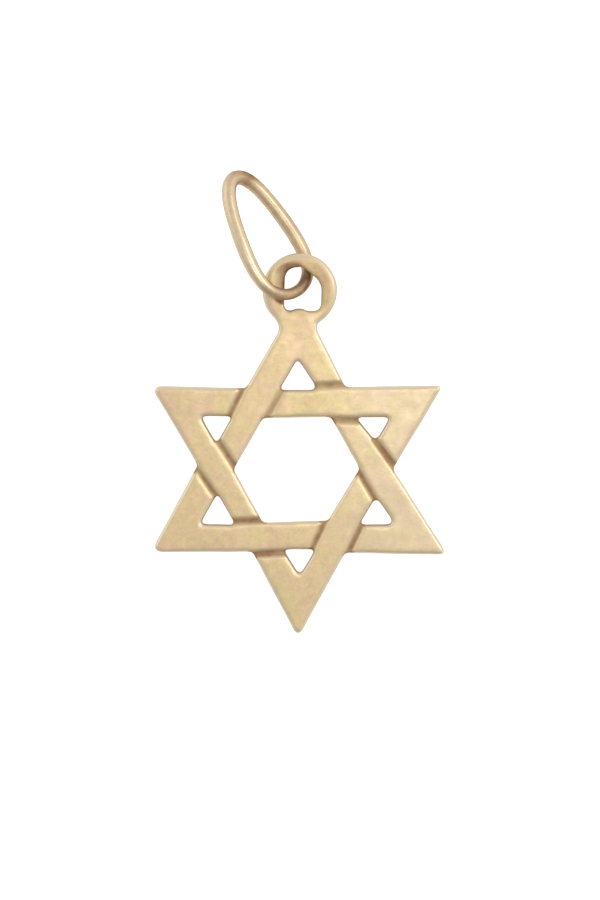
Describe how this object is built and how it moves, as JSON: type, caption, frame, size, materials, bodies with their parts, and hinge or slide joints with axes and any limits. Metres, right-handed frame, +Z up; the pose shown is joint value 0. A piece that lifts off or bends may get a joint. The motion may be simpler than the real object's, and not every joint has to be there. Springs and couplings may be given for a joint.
{
  "type": "star of david pendant",
  "caption": "Small interlaced six-pointed star charm in satin yellow gold with a ring at its apex and an oval wire bail, lying on its back.",
  "frame": {"origin": "on the surface the charm lies on, under the middle of its bounding box", "axes": "+Z up off the surface, +Y from the star's lowest tip towards its ring and bail, +X to the right of the star's front face"},
  "size_m": [0.0182, 0.0288, 0.003],
  "materials": {
    "star_gold": "satin, softly worn yellow gold",
    "bail_gold": "polished yellow gold wire, slightly rosy"
  },
  "bodies": {
    "root": {"star": "star_gold", "bail": "bail_gold"}
  },
  "joints": []
}
